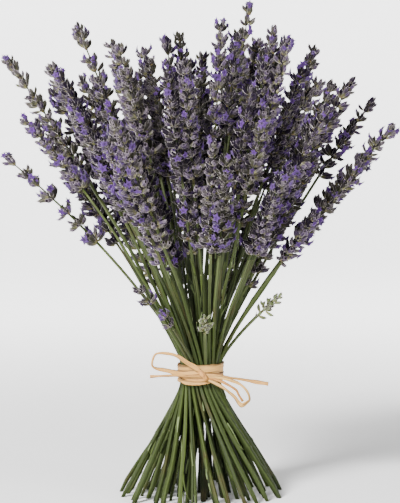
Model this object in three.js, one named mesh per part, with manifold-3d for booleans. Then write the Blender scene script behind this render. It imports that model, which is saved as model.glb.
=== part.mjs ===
// A bunch of dried lavender, standing on its cut ends. Its square stems are tied with raffia a quarter of
// the way up, in a twist, so that they flare below into a wide foot and above into a fan of flower spikes.
// Millimetres, +Z up. The origin is on the surface the bunch stands on, under the middle of its outline.
import * as THREE from "three";
import { mergeVertices } from "three/addons/utils/BufferGeometryUtils.js";
import Module from "manifold-3d";

const wasm = await Module();
wasm.setup();

// ---- Driving dimensions: millimetres, and degrees where the name says so ----
const TIE_UP = 100; // middle of the tie above the surface
const STEM_RINGS = 5; // the tie holds rings of 6, 12, 18, 24 and 30 stems round a middle one
const STEM_PITCH = 2.8; // from stem to stem where the tie presses them together
const FOOT_R = 64; // how far out the outer ring of stems stands
const FAN_R = 150; // how far forward or back the outer ring of spikes reaches at FAN_UP
const FAN_UP = 250; // height above the tie at which FAN_R is measured
const FAN_WIDE = 1.1; // the fan from side to side, as a share of the fan from front to back
const FOOT_TWIST_DEG = 40; // turn of the bunch from its tie to its foot
const TWIST_DEG = 27; // and the other way to its spikes
const TIE_EASE = 12; // height over which a stem leaves the tie and takes up its lean
const BEND_SHARE = 0.2; // share of a stem's way out that comes from bending along its whole length
const STEM_WIDE = { foot: 2.8, tie: 1.9, head: 2 }; // across the flats of the square stem
const SPIKE_R = 8.2; // out to the tips of a full whorl's florets
const FULL_SPIKE = 46; // a spike shorter than this is slimmer too
const SPIKE_SLIM = [0.84, 0.96, 1, 1, 0.93, 0.82, 0.66]; // share of SPIKE_R at each whorl from the lowest
const FLORETS = 4; // florets to a whorl, larger than life
const WHORL_PITCH = 13.4; // from whorl to whorl
const RACHIS_R = { low: 3, high: 1.6 }; // the spike's axis, that the florets stand on
const SPIKE_LONG = { least: 88, most: 112 };
const TWIN_GAP = 12; // between the tips of two spikes that have caught in each other
const TWIN_DROP = { least: 4, most: 18 }; // from the one's tip down to the other's
const TWIN_SKEW = 0.8; // how far such a two may turn from lying along its ring, in radians
const FOOT_DRIFT = 5; // how far the foot of a stem may stand in or out
const STEM_KNEE = 0.36; // where a stem's one bend is, as a share of its way from the tie to its spike
const FIT_GAP = 0.3; // between solids that touch on the real thing
const TURN_DRIFT = 0.6; // how far a sprig may swing round from its slot, in radians over its ring
const RING_DRIFT = 0.5; // and how far in or out, in rings
const OUTER_SHIFT = 0.3; // how far out the outer ring stands beyond its share, in rings
const ENOUGH_ROOM = 0.5; // between a group's drawn place and the sprigs that are in already
const DRAWS = 200; // the most that one group takes
const DRAW_SEED = 35;
const FLORET_SEED = 5;

// The pressed block of stems inside the tie, and the raffia wound round it.
const WRAP_SIDES = 20;
const BLOCK = { r: STEM_RINGS * STEM_PITCH + 2.5, up: 5.5 }; // up: half its height
// The wound band's outline, as radius and height from the middle of the tie: three turns of raffia side by
// side, narrow inside where the stems are pressed together.
const BAND = [
  [18.5, -7.4],
  [19.2, -6.8],
  [19, -3.2],
  [18, -2.5],
  [18.6, -1.8],
  [18.6, 2],
  [17.9, 2.6],
  [18.5, 3.2],
  [18.7, 6.9],
  [18, 7.4],
  [16.9, 4.5],
  [16.9, -3.5],
];
const STRAND = { wide: 3, thick: 1.3 };
const KNOT = { at: [4, -19.6, -1.6], half: [5.6, 3, 4.4] };
// The bow's strands from the knot out, as points from the middle of the tie: a loop and a tail to the left,
// and to the right a tail, a hanging loop and the short strand that doubles it.
const BOW = [
  [
    [1, -20, 0],
    [-6, -20.6, 6.5],
    [-13, -21, 12.8],
    [-23, -22, 17.6],
    [-33, -22.5, 17.4],
    [-38.8, -22.6, 15],
    [-39.8, -22.4, 11.4],
    [-37.6, -22.2, 8],
    [-28.8, -21.8, 4.2],
    [-18.4, -21.4, 2.4],
    [1, -20.6, 0],
  ],
  [
    [2, -20, -2],
    [-9, -20.4, -2],
    [-18.4, -20.2, -1.6],
    [-30, -20, -1.6],
    [-40.8, -19.6, -2],
  ],
  [
    [5, -19.8, -1.4],
    [12, -20.2, -1],
    [24, -20, -2.8],
    [39.2, -19.6, -4.8],
    [55.2, -19, -7.4],
  ],
  [
    [5, -20, -2.6],
    [11, -21, -5.6],
    [19.2, -21.6, -9.8],
    [27.6, -22.4, -16.8],
    [30.8, -22.8, -21.4],
    [35, -23, -22],
    [39, -23.2, -17.6],
    [38.4, -23, -10],
    [31.2, -22.6, -5.4],
    [18.4, -22, -2],
    [6, -20.6, -1],
  ],
  [
    [6, -20.4, -2],
    [14, -21.4, -4.2],
    [22, -22, -6.8],
    [28.8, -22.6, -12],
    [32, -23, -20.6],
  ],
];

// Spikes that stand alone, most of them for the outline: the tie slot's ring and place in it, the tip in x,
// y and height above the tie, the spike's length, and the share of its way out that is bend.
const LONERS = [
  { ring: 5, place: 17, tip: [-157, -8, 256], spike: 118, bend: 0.24 },
  { ring: 5, place: 18, tip: [-143, -31, 209], spike: 82, bend: 0.38 },
  { ring: 5, place: 19, tip: [-153, -48, 176], spike: 104, bend: 0.36 },
  { ring: 5, place: 20, tip: [-51, -34, 74], spike: 27, bend: 0.1 },
  { ring: 5, place: 21, tip: [-31, -50, 54], spike: 22, bend: 0.1 },
  { ring: 5, place: 24, tip: [3, -53, 52], spike: 22, bend: 0.1 },
  { ring: 5, place: 29, tip: [92, -62, 133], spike: 56, bend: 0.2 },
  { ring: 5, place: 0, tip: [67, -26, 67], spike: 30, bend: 0.4 },
  { ring: 5, place: 1, tip: [127, -34, 168], spike: 84, bend: 0.26 },
  { ring: 5, place: 2, tip: [156, -8, 200], spike: 92, bend: 0.3 },
  { ring: 5, place: 3, tip: [143, 23, 223], spike: 82, bend: 0.26 },
  { ring: 5, place: 4, tip: [128, 49, 240], spike: 84, bend: 0.22 },
  { ring: 4, place: 3, tip: [99, 40, 239], spike: 84, bend: 0.2 },
  { ring: 4, place: 4, tip: [98, 76, 267], spike: 92, bend: 0.2 },
  { ring: 4, place: 12, tip: [-101, 52, 243], spike: 86, bend: 0.2 },
  { ring: 3, place: 3, tip: [71, 56, 269], spike: 84, bend: 0.2 },
  { ring: 3, place: 11, tip: [-99, -23, 282], spike: 108, bend: 0.2 },
  { ring: 1, place: 0, tip: [39, -17, 297], spike: 100, bend: 0.3 },
  { ring: 1, place: 1, tip: [33, 22, 281], spike: 88, bend: 0.2 },
  { ring: 0, place: 0, tip: [1, 1, 262], spike: 84, bend: 0.1 },
];
// The other stems by ring: the first place of each two whose spikes have caught in each other, the places
// of those that stand alone, and the least and greatest height of a tip above the tie.
const FILL = [
  { ring: 5, twins: [5, 7, 9, 11, 13, 15, 22, 25, 27], alone: [], tips: [132, 224] },
  { ring: 4, twins: [5, 7, 9, 13, 15, 17, 19, 21, 23, 1], alone: [11], tips: [158, 256] },
  { ring: 3, twins: [4, 6, 8, 12, 14, 16, 0], alone: [10, 2], tips: [200, 278] },
  { ring: 2, twins: [0, 2, 4, 6, 8, 10], alone: [], tips: [224, 288] },
  { ring: 1, twins: [2, 4], alone: [], tips: [246, 282] },
];

const radians = THREE.MathUtils.degToRad;
const turnStep = (2 * Math.PI) / FLORETS;
const flat = (length, angle) => new THREE.Vector3(length * Math.cos(angle), length * Math.sin(angle), 0);

// Lehmer's generator: the same numbers on every run.
function seeded(state) {
  return () => {
    state = (state * 48271) % 2147483647;
    return state / 2147483647;
  };
}

// ---- Where each sprig runs ----

const slotAngle = (ring, place) => (ring ? (Math.PI * place) / (3 * ring) : 0);
const easeOut = (rise) => Math.hypot(rise, TIE_EASE) - TIE_EASE;

// A sprig stands in its slot of the tie. Above, it swings out to its tip, and below, to its foot.
function makeSprig(ring, place, tip, spike, bend, draw) {
  const angle = slotAngle(ring, place);
  const slot = flat(ring * STEM_PITCH, angle);
  const footOut = (FOOT_R * ring) / STEM_RINGS + (draw() - 0.5) * FOOT_DRIFT;
  const foot = flat(footOut, angle + radians(FOOT_TWIST_DEG));
  const whorls = Math.max(2, Math.round(spike / WHORL_PITCH));
  const reach = SPIKE_R * Math.min(1, 0.35 + (0.65 * spike) / FULL_SPIKE);
  const sprig = { slot, foot, tip, bend, whorls, reach };
  const near = centre(sprig, tip.z - spike);
  sprig.base = tip.z - (spike * spike) / near.distanceTo(tip);
  sprig.from = draw() * Math.PI;
  return sprig;
}

// The point of a sprig's centre line at a height above (or, negative, below) the middle of the tie.
function centre(sprig, height) {
  const { slot, foot, tip, bend } = sprig;
  const up = height > 0;
  const far = up ? tip : foot;
  const eased = up ? easeOut(height) / easeOut(tip.z) : easeOut(height) / easeOut(TIE_UP);
  const share = up ? (1 - bend) * eased + bend * (height / tip.z) ** 2 : eased;
  return new THREE.Vector3(slot.x + (far.x - slot.x) * share, slot.y + (far.y - slot.y) * share, height);
}

function tangent(sprig, height) {
  return centre(sprig, height + 1).sub(centre(sprig, height - 1)).normalize();
}

// Two directions across a sprig, square to it and to each other.
function frameAt(sprig, height) {
  const along = tangent(sprig, height);
  const side = new THREE.Vector3(1, 0, 0).addScaledVector(along, -along.x).normalize();
  return { side, front: along.clone().cross(side) };
}

// Half the room that a sprig takes up at a height: its florets along the spike, and its stem below.
function roomAt(sprig, height) {
  const share = (height - sprig.base) / (sprig.tip.z - sprig.base);
  if (share > 1.04) return -Infinity;
  if (share < -0.06) return STEM_WIDE.head * 0.8;
  return sprig.reach * (share < 0.6 ? 1 : 1.54 - 0.9 * share);
}

// The least room left between two sprigs, from just above the tie to the lower of their tips.
function clearance(one, other) {
  let least = Infinity;
  for (let height = 16; height < Math.min(one.tip.z, other.tip.z) + 5; height += 5) {
    const apart = centre(one, height).sub(centre(other, height));
    const along = tangent(one, height).add(tangent(other, height)).normalize();
    const room = apart.cross(along).length() - roomAt(one, height) - roomAt(other, height);
    least = Math.min(least, room);
  }
  return least;
}

// One sprig, or two side by side in a ring whose spikes have caught in each other. The two spikes start
// level, and one reaches higher. In every other whorl a floret of each points at the other spike.
function drawGroup(ring, place, count, tips, draw) {
  const middle = slotAngle(ring, place + (count - 1) / 2) - radians(TWIST_DEG);
  const turn = middle + ((draw() - 0.5) * TURN_DRIFT) / ring;
  const height = tips[1] - draw() ** 1.4 * (tips[1] - tips[0]);
  const shift = (ring === STEM_RINGS ? OUTER_SHIFT : 0) + (draw() - 0.5) * RING_DRIFT;
  const out = ((FAN_R * (ring + shift)) / STEM_RINGS) * (height / FAN_UP);
  const spike = SPIKE_LONG.least + draw() * (SPIKE_LONG.most - SPIKE_LONG.least);
  const across = turn + Math.PI / 2 + (draw() - 0.5) * TWIN_SKEW;
  const higher = draw() < 0.5 ? 0 : 1;
  const drop = TWIN_DROP.least + draw() * (TWIN_DROP.most - TWIN_DROP.least);
  const spread = flat(out, turn).multiply(new THREE.Vector3(FAN_WIDE, 1, 1));
  const sprigs = [];
  for (let side = 0; side < count; side++) {
    const lower = side === higher ? 0 : drop;
    const tip = flat((TWIN_GAP * (2 * side + 1 - count)) / 2, across).add(spread);
    tip.z = height - lower;
    sprigs.push(makeSprig(ring, place + side, tip, spike - lower, BEND_SHARE, draw));
  }
  if (count === 2)
    for (const side of [0, 1]) sprigs[side].from = bearing(sprigs[side], sprigs[1 - side]) - turnStep / 2;
  return sprigs;
}

// The angle, round the foot of a sprig's spike, at which another sprig stands.
function bearing(sprig, other) {
  const height = sprig.base + WHORL_PITCH;
  const { side, front } = frameAt(sprig, height);
  const away = centre(other, height).sub(centre(sprig, height));
  return Math.atan2(away.dot(front), away.dot(side));
}

// Groups of sprigs in the order they are laid in: first those set out above, then the rest. Each of the
// rest is drawn until it leaves enough room to all that are in, or the roomiest of its draws is taken.
function layBunch() {
  const draw = seeded(DRAW_SEED);
  const laid = LONERS.map(({ ring, place, tip, spike, bend }) => [
    makeSprig(ring, place, new THREE.Vector3(...tip), spike, bend, draw),
  ]);
  const layIn = (ring, place, count, tips) => {
    let best;
    let most = -Infinity;
    for (let drawn = 0; drawn < DRAWS && most < ENOUGH_ROOM; drawn++) {
      const group = drawGroup(ring, place, count, tips, draw);
      const rooms = laid.flat().flatMap((one) => group.map((other) => clearance(one, other)));
      const room = Math.min(...rooms);
      if (room > most) [best, most] = [group, room];
    }
    laid.push(best);
  };
  for (const { ring, twins, alone, tips } of FILL) {
    for (const place of twins) layIn(ring, place, 2, tips);
    for (const place of alone) layIn(ring, place, 1, tips);
  }
  return laid;
}

// ---- Solids ----

// Points round a sprig's centre line, in the plane across it. The angles run anticlockwise seen from above.
function ringPoints(sprig, height, radius, angles) {
  const { side, front } = frameAt(sprig, height);
  const middle = centre(sprig, height);
  return angles.map((angle) =>
    middle
      .clone()
      .addScaledVector(side, radius * Math.cos(angle))
      .addScaledVector(front, radius * Math.sin(angle)),
  );
}

const corners = (count, from) =>
  Array.from({ length: count }, (_, i) => from + (2 * Math.PI * i) / count);

// A closed solid from points and the triangles between them, that can be joined to others.
function solid(points, triangles) {
  const vertProperties = Float32Array.from(points.flatMap((point) => point.toArray()));
  const triVerts = Uint32Array.from(triangles.flat());
  return new wasm.Manifold(new wasm.Mesh({ numProp: 3, vertProperties, triVerts }));
}

// One flower spike: a thin axis of stacked rings, each turned half a step on the one below. Every triangle
// that points up between two rings is drawn out into a floret that stands up and out.
function spikeSolid(sprig, draw) {
  const { base, tip, whorls, from } = sprig;
  const points = [];
  const triangles = [];
  const heightAt = (whorl) => base + ((tip.z - base) * whorl) / (whorls + 0.4);
  for (let whorl = 0; whorl <= whorls; whorl++) {
    const radius = THREE.MathUtils.lerp(RACHIS_R.low, RACHIS_R.high, whorl / whorls);
    const angles = corners(FLORETS, from + (whorl * turnStep) / 2);
    points.push(...ringPoints(sprig, heightAt(whorl), radius, angles));
  }
  for (let whorl = 0; whorl < whorls; whorl++) {
    const slim = SPIKE_SLIM[Math.round((whorl * (SPIKE_SLIM.length - 1)) / (whorls - 1))];
    const low = whorl * FLORETS;
    const high = low + FLORETS;
    for (let i = 0; i < FLORETS; i++) {
      const next = (i + 1) % FLORETS;
      const reach = sprig.reach * slim * (0.84 + 0.16 * draw());
      const height = heightAt(whorl + 0.55 + 0.25 * draw());
      const [end] = ringPoints(sprig, height, reach, [from + ((whorl + 1) / 2 + i) * turnStep]);
      const floret = points.push(end) - 1;
      triangles.push([low + i, low + next, floret], [low + next, high + i, floret]);
      triangles.push([high + i, low + i, floret], [low + next, high + next, high + i]);
    }
  }
  const top = points.push(tip) - 1;
  const last = whorls * FLORETS;
  for (let i = 0; i < FLORETS; i++) triangles.push([last + i, last + ((i + 1) % FLORETS), top]);
  for (let i = 1; i < FLORETS - 1; i++) triangles.push([0, i + 1, i]);
  return solid(points, triangles);
}

// Adds the walls of a tube between two rings of points, each given by the index of its first.
function addWalls(triangles, low, high, count) {
  for (let i = 0; i < count; i++) {
    const next = (i + 1) % count;
    triangles.push([low + i, low + next, high + next], [low + i, high + next, high + i]);
  }
}

// Adds a square ring of points round a stem and gives back its first index. A level one lies flat.
function addSquare(points, sprig, height, wide, isLevel) {
  const square = ringPoints(sprig, height, wide * Math.SQRT1_2, corners(4, sprig.from));
  if (isLevel) for (const point of square) point.z = height;
  return points.push(...square) - 4;
}

// Adds one stem: a tube from its level foot into the pressed block, and another out of the block's top to just
// under the spike. Gives back where the two meet the block.
function addStem(points, triangles, sprig) {
  const foot = addSquare(points, sprig, -TIE_UP, STEM_WIDE.foot, true);
  const into = addSquare(points, sprig, -BLOCK.up, STEM_WIDE.tie, true);
  const outOf = addSquare(points, sprig, BLOCK.up, STEM_WIDE.tie, true);
  const end = sprig.base - FIT_GAP - 1;
  const bend = addSquare(points, sprig, BLOCK.up + (end - BLOCK.up) * STEM_KNEE, STEM_WIDE.head, false);
  const top = addSquare(points, sprig, end, STEM_WIDE.head, false);
  addWalls(triangles, foot, into, 4);
  addWalls(triangles, outOf, bend, 4);
  addWalls(triangles, bend, top, 4);
  triangles.push([foot, foot + 2, foot + 1], [foot, foot + 3, foot + 2]);
  triangles.push([top, top + 1, top + 2], [top, top + 2, top + 3]);
  return [into, outOf];
}

// Adds one flat face of the block, with a hole for each stem that passes through it.
function addBlockFace(points, triangles, rim, holes, facesUp) {
  const loops = [[rim, WRAP_SIDES], ...holes.map((hole) => [hole, 4])];
  const indices = loops.map(([first, count]) => Array.from({ length: count }, (_, i) => first + i));
  const [outline, ...inner] = indices.map((loop) => loop.map((i) => points[i]));
  const inOrder = indices.flat();
  for (const cut of THREE.ShapeUtils.triangulateShape(outline, inner)) {
    const triangle = cut.map((i) => inOrder[i]);
    triangles.push(facesUp ? triangle : triangle.reverse());
  }
}

// All the stems as one solid, held together by the pressed block inside the tie.
function stemsSolid(sprigs) {
  const points = [];
  const triangles = [];
  const rims = [-BLOCK.up, BLOCK.up].map((height) => {
    const rim = corners(WRAP_SIDES, 0).map((angle) => flat(BLOCK.r, angle).setZ(height));
    return points.push(...rim) - WRAP_SIDES;
  });
  addWalls(triangles, rims[0], rims[1], WRAP_SIDES);
  const meets = sprigs.map((sprig) => addStem(points, triangles, sprig));
  rims.forEach((rim, face) => {
    const holes = meets.map((meet) => meet[face]);
    addBlockFace(points, triangles, rim, holes, face === 1);
  });
  return solid(points, triangles);
}

// A solid ring from [radius, height] pairs that run up its outside and down its inside.
function ringSolid(profile, sides) {
  const points = profile.flatMap(([radius, height]) =>
    corners(sides, 0).map((angle) => flat(radius, angle).setZ(height)),
  );
  const triangles = [];
  for (let row = 0; row < profile.length; row++)
    addWalls(triangles, row * sides, ((row + 1) % profile.length) * sides, sides);
  return solid(points, triangles);
}

// A flat strand of raffia along a smooth line through the given points, its broad side to the front.
function strandSolid(through, pieces) {
  const stops = through.map((point) => new THREE.Vector3(...point));
  const line = new THREE.CatmullRomCurve3(stops, false, "centripetal");
  const forward = new THREE.Vector3(0, -1, 0);
  const points = [];
  const triangles = [];
  for (let i = 0; i <= pieces; i++) {
    const middle = line.getPoint(i / pieces);
    const wide = forward.clone().cross(line.getTangent(i / pieces)).setLength(STRAND.wide / 2);
    const thick = forward.clone().multiplyScalar(STRAND.thick / 2);
    for (const [across, out] of [[1, 1], [-1, 1], [-1, -1], [1, -1]])
      points.push(middle.clone().addScaledVector(wide, across).addScaledVector(thick, out));
    if (i) addWalls(triangles, 4 * i - 4, 4 * i, 4);
  }
  const last = 4 * pieces;
  triangles.push([0, 2, 1], [0, 3, 2], [last, last + 1, last + 2], [last, last + 2, last + 3]);
  return solid(points, triangles);
}

// The knot in front of the band.
function knotSolid() {
  const lump = new THREE.IcosahedronGeometry(1, 1).scale(...KNOT.half).translate(...KNOT.at);
  const joined = mergeVertices(lump.deleteAttribute("normal").deleteAttribute("uv"), 1e-3);
  const places = joined.attributes.position;
  const points = [];
  for (let i = 0; i < places.count; i++) points.push(new THREE.Vector3().fromBufferAttribute(places, i));
  return solid(points, [Array.from(joined.index.array)]);
}

function raffiaSolid() {
  const strands = BOW.map((through) => strandSolid(through, Math.round(through.length * 1.6)));
  return wasm.Manifold.union([ringSolid(BAND, WRAP_SIDES), knotSolid(), ...strands]);
}

// ---- The part ----

function toMesh(name, body, material) {
  const { vertProperties, triVerts, numProp } = body.getMesh();
  const geometry = new THREE.BufferGeometry();
  const places = Array.from(vertProperties).filter((_, i) => i % numProp < 3);
  geometry.setAttribute("position", new THREE.Float32BufferAttribute(places, 3));
  geometry.setIndex(Array.from(triVerts));
  geometry.translate(0, 0, TIE_UP);
  const mesh = new THREE.Mesh(geometry, material);
  mesh.name = name;
  return mesh;
}

const matt = (color, roughness) => new THREE.MeshStandardMaterial({ color, roughness, metalness: 0 });

function buildPart() {
  const groups = layBunch();
  const draw = seeded(FLORET_SEED);
  const part = new THREE.Group();
  part.name = "dried_lavender_bunch";
  part.add(toMesh("stems", stemsSolid(groups.flat()), matt("#5c6f3f", 0.8)));
  part.add(toMesh("raffia_tie", raffiaSolid(), matt("#dcbd8a", 0.7)));
  groups.forEach((group, i) => {
    const body = wasm.Manifold.union(group.map((sprig) => spikeSolid(sprig, draw)));
    part.add(toMesh(`spikes_${String(i + 1).padStart(2, "0")}`, body, matt("#5b4c78", 0.85)));
  });
  const box = new THREE.Box3().setFromObject(part);
  const middle = box.getCenter(new THREE.Vector3());
  for (const mesh of part.children) mesh.geometry.translate(-middle.x, -middle.y, 0);
  return part;
}

export default buildPart();
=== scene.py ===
# A bunch of dried lavender, tied with raffia and standing on its cut ends.
#
# The sprigs are laid by the same rule as the solids, and then dressed: each spike with whorls of calyces,
# open flowers and bracts, each stem with its ridges, joints and twigs, and the tie with flat fibrous strands.
# Lengths are in millimetres from the middle of the tie, until a mesh is made of them.
import math

import bpy
import numpy as np
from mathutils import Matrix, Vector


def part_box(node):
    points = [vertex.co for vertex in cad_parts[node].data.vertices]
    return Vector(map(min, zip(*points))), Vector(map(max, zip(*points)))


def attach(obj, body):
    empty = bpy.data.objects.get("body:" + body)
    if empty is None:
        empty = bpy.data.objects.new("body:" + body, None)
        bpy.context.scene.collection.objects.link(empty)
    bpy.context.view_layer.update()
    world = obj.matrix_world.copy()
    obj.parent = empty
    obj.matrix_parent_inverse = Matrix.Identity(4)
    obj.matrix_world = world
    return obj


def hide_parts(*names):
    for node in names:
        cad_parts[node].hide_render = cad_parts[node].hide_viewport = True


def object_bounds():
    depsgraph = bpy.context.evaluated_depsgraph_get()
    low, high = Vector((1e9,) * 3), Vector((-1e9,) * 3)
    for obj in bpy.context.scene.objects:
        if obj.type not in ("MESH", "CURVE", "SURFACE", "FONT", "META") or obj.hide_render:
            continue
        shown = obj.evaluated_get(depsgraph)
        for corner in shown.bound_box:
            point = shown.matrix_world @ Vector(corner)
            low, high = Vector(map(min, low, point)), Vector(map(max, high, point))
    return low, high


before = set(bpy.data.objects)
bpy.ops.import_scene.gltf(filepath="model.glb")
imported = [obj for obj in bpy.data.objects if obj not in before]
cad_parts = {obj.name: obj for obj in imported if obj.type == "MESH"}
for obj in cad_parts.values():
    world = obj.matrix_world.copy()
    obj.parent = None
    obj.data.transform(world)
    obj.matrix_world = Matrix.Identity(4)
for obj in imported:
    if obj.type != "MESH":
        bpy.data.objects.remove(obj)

MM = 0.001
cad_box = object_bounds()

# ---- Driving dimensions of the bunch, as on the solids ----
TIE_UP = 100  # middle of the tie above the surface
STEM_RINGS = 5
STEM_PITCH = 2.8
FOOT_R = 64
FAN_R = 150
FAN_UP = 250
FAN_WIDE = 1.1
FOOT_TWIST = math.radians(40)
TWIST = math.radians(27)
TIE_EASE = 12
BEND_SHARE = 0.2
SPIKE_R = 8.2
FULL_SPIKE = 46
SHORT_SLIM = 0.35  # how slender the shortest spike is, as a share of the others
SPIKE_LONG = (88, 112)
TWIN_GAP = 12
TWIN_DROP = (4, 18)
TWIN_SKEW = 0.8
FOOT_DRIFT = 5
TURN_DRIFT = 0.6
RING_DRIFT = 0.5
OUTER_SHIFT = 0.3
ENOUGH_ROOM = 0.5
DRAWS = 200
DRAW_SEED = 35
HIGH_MORE = 1.4  # power of a draw that sets more tips high than low
BAND_R = 19.2
STEM_ROOM = 1.6  # half the room that a stem takes up
SPIKE_ENDS = (-0.06, 1.04)  # where a spike's room begins and ends, as shares of its length
NARROWS_FROM = 0.6  # the share from which that room narrows, and how fast
NARROWS = 0.9
TEST_STEP = 5.0  # between the heights at which two sprigs are held apart

# Spikes that stand alone: ring and place in the tie, tip, length, and the share of the way out that is bend.
LONERS = [
    (5, 17, (-157, -8, 256), 118, 0.24),
    (5, 18, (-143, -31, 209), 82, 0.38),
    (5, 19, (-153, -48, 176), 104, 0.36),
    (5, 20, (-51, -34, 74), 27, 0.1),
    (5, 21, (-31, -50, 54), 22, 0.1),
    (5, 24, (3, -53, 52), 22, 0.1),
    (5, 29, (92, -62, 133), 56, 0.2),
    (5, 0, (67, -26, 67), 30, 0.4),
    (5, 1, (127, -34, 168), 84, 0.26),
    (5, 2, (156, -8, 200), 92, 0.3),
    (5, 3, (143, 23, 223), 82, 0.26),
    (5, 4, (128, 49, 240), 84, 0.22),
    (4, 3, (99, 40, 239), 84, 0.2),
    (4, 4, (98, 76, 267), 92, 0.2),
    (4, 12, (-101, 52, 243), 86, 0.2),
    (3, 3, (71, 56, 269), 84, 0.2),
    (3, 11, (-99, -23, 282), 108, 0.2),
    (1, 0, (39, -17, 297), 100, 0.3),
    (1, 1, (33, 22, 281), 88, 0.2),
    (0, 0, (1, 1, 262), 84, 0.1),
]
# The others by ring: first places of the pairs, places of the single ones, least and greatest tip height.
FILL = [
    (5, (5, 7, 9, 11, 13, 15, 22, 25, 27), (), (132, 224)),
    (4, (5, 7, 9, 13, 15, 17, 19, 21, 23, 1), (11,), (158, 256)),
    (3, (4, 6, 8, 12, 14, 16, 0), (10, 2), (200, 278)),
    (2, (0, 2, 4, 6, 8, 10), (), (224, 288)),
    (1, (2, 4), (), (246, 282)),
]

# Spikes of their own kind, by ring and place: millimetres between whorls, share of the usual calyces, how
# green these are, with sage green above 1, the share in flower, and their size.
HABITS = {
    (5, 19): (16, 1.2, 0.6, 0.4, 1.05),
    (5, 24): (6, 0.5, 2, 0, 0.75),
    (5, 0): (6.5, 0.5, 2, 0, 0.8),
    (5, 20): (30, 0.9, 0.4, 0.6, 0.9),
    (5, 21): (30, 0.8, 0.3, 0.8, 0.85),
    (1, 0): (12, 0.9, 0.7, 0.2, 1),
}

# Where the bunch stands in the frame: its leftmost tip and the back of its band give the two shifts.
SHIFT = np.array([
    cad_box[0].x / MM - LONERS[0][2][0],
    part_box("raffia_tie")[1].y / MM - BAND_R,
    TIE_UP,
])


def unit(vectors):
    """Vectors scaled to a length of 1."""
    return vectors / np.linalg.norm(vectors, axis=-1, keepdims=True)


def seeded(state):
    """Draws between 0 and 1, the same on every run: each state is the last one times a constant, as the
    remainder by a prime."""
    def draw():
        nonlocal state
        state = state * 48271 % 2147483647
        return state / 2147483647
    return draw


# ---- Where each sprig runs ----

def flat(length, angle):
    """A length along x and y, at an angle from x."""
    return np.array([length * math.cos(angle), length * math.sin(angle)])


def slot_angle(ring, place):
    """A ring has six slots for each of its number, evenly round."""
    return math.pi * place / (3 * ring) if ring else 0


def ease_out(rise):
    """A hyperbola that starts level and becomes a straight slope."""
    return np.hypot(rise, TIE_EASE) - TIE_EASE


class Sprig:
    """A stem and its spike. It stands in a slot of the tie, and swings out to its tip and to its foot."""

    def __init__(self, ring, place, tip, spike, bend, draw):
        angle = slot_angle(ring, place)
        self.slot = flat(ring * STEM_PITCH, angle)
        self.habit = HABITS.get((ring, place))
        self.depth = STEM_RINGS - ring
        self.lone = (ring, place) in [loner[:2] for loner in LONERS]
        foot_out = FOOT_R * ring / STEM_RINGS + (draw() - 0.5) * FOOT_DRIFT
        self.foot = flat(foot_out, angle + FOOT_TWIST)
        self.tip = np.array(tip, float)
        self.bend = bend
        self.spike = spike
        self.reach = SPIKE_R * min(1, SHORT_SLIM + (1 - SHORT_SLIM) * spike / FULL_SPIKE)
        self.slender = self.reach / SPIKE_R
        near = self.centre(np.array([self.tip[2] - spike]))[0]
        self.base = self.tip[2] - spike * spike / np.linalg.norm(near - self.tip)
        self.turned = draw() * math.pi

    def centre(self, heights):
        """The centre line: its way out from the slot is a hyperbola's slope, mixed above with a square."""
        up = heights > 0
        top = self.tip[2]
        eased = ease_out(heights) / np.where(up, ease_out(top), ease_out(TIE_UP))
        share = np.where(up, (1 - self.bend) * eased + self.bend * (heights / top) ** 2, eased)
        far = np.where(up[..., None], self.tip[:2], self.foot)
        return np.concatenate([self.slot + (far - self.slot) * share[..., None], heights[..., None]], -1)

    def tangent(self, heights):
        return unit(self.centre(heights + 1) - self.centre(heights - 1))

    def axes(self, heights):
        """Two directions across the sprig and the one along it."""
        along = self.tangent(heights)
        side = unit(np.array([1.0, 0, 0]) - along * along[..., :1])
        return side, np.cross(along, side), along

    def room(self, heights):
        """Half the room it takes up: that of its florets along the spike, and of its stem below."""
        share = (heights - self.base) / (self.tip[2] - self.base)
        spike = self.reach * np.minimum(1, 1 - NARROWS * (share - NARROWS_FROM))
        below, above = share < SPIKE_ENDS[0], share > SPIKE_ENDS[1]
        return np.where(above, -np.inf, np.where(below, STEM_ROOM, spike))


TESTED = np.arange(16.0, 302.0, TEST_STEP)


def line_of(sprig):
    """A sprig at the tested heights: its centres, its ways and its room, and the height of its tip."""
    return sprig.centre(TESTED), sprig.tangent(TESTED), sprig.room(TESTED), sprig.tip[2]


def least_room(sprig, lines):
    """The least room between a sprig and those with these lines, up to the lower of the two tips."""
    centres, tangents, rooms, tips = (np.array(part) for part in zip(*lines))
    centre, tangent, room, tip = line_of(sprig)
    across = np.cross(centre - centres, unit(tangent + tangents))
    left = np.linalg.norm(across, axis=-1) - room - rooms
    counted = TESTED < np.minimum(tips, tip)[:, None] + TEST_STEP
    return left[counted].min()


def draw_group(ring, place, count, tips, draw):
    """One sprig, or two side by side in a ring, drawn in the order that the solids draw theirs."""
    turn = slot_angle(ring, place + (count - 1) / 2) - TWIST + (draw() - 0.5) * TURN_DRIFT / ring
    height = tips[1] - draw() ** HIGH_MORE * (tips[1] - tips[0])
    shift = (OUTER_SHIFT if ring == STEM_RINGS else 0) + (draw() - 0.5) * RING_DRIFT
    out = FAN_R * (ring + shift) / STEM_RINGS * (height / FAN_UP)
    spike = SPIKE_LONG[0] + draw() * (SPIKE_LONG[1] - SPIKE_LONG[0])
    across = turn + math.pi / 2 + (draw() - 0.5) * TWIN_SKEW
    higher = 0 if draw() < 0.5 else 1
    drop = TWIN_DROP[0] + draw() * (TWIN_DROP[1] - TWIN_DROP[0])
    sprigs = []
    for side in range(count):
        lower = 0 if side == higher else drop
        x, y = flat(out, turn) * [FAN_WIDE, 1] + flat(TWIN_GAP * (2 * side + 1 - count) / 2, across)
        tip = (x, y, height - lower)
        sprigs.append(Sprig(ring, place + side, tip, spike - lower, BEND_SHARE, draw))
    return sprigs


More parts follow.
